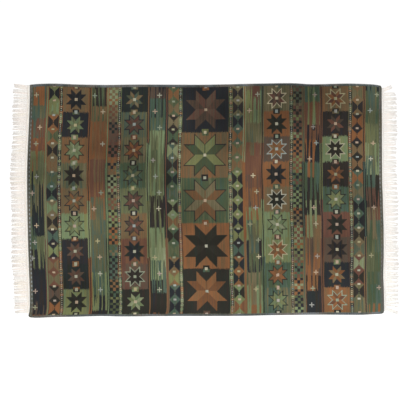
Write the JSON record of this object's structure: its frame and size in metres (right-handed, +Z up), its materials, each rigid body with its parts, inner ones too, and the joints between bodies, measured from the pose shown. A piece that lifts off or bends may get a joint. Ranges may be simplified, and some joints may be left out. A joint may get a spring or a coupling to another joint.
{
  "type": "flat-woven wool rug",
  "caption": "Rectangular flat-woven wool rug in dark greens, browns and rust, with finished selvedges and a cream warp fringe along both short ends.",
  "frame": {"origin": "on the floor, under the middle of the rug's bounding box", "axes": "+X along the rug's length, towards the right-hand fringe; +Y across it, towards its far long side; +Z up"},
  "size_m": [2.8434, 1.709, 0.003],
  "materials": {
    "woven_wool": "matt, weft-faced ribbed weave",
    "warp_yarn": "matt twisted yarn"
  },
  "bodies": {
    "root": {"woven_body": "woven_wool", "fringe_left": "warp_yarn", "fringe_right": "warp_yarn"}
  },
  "joints": []
}
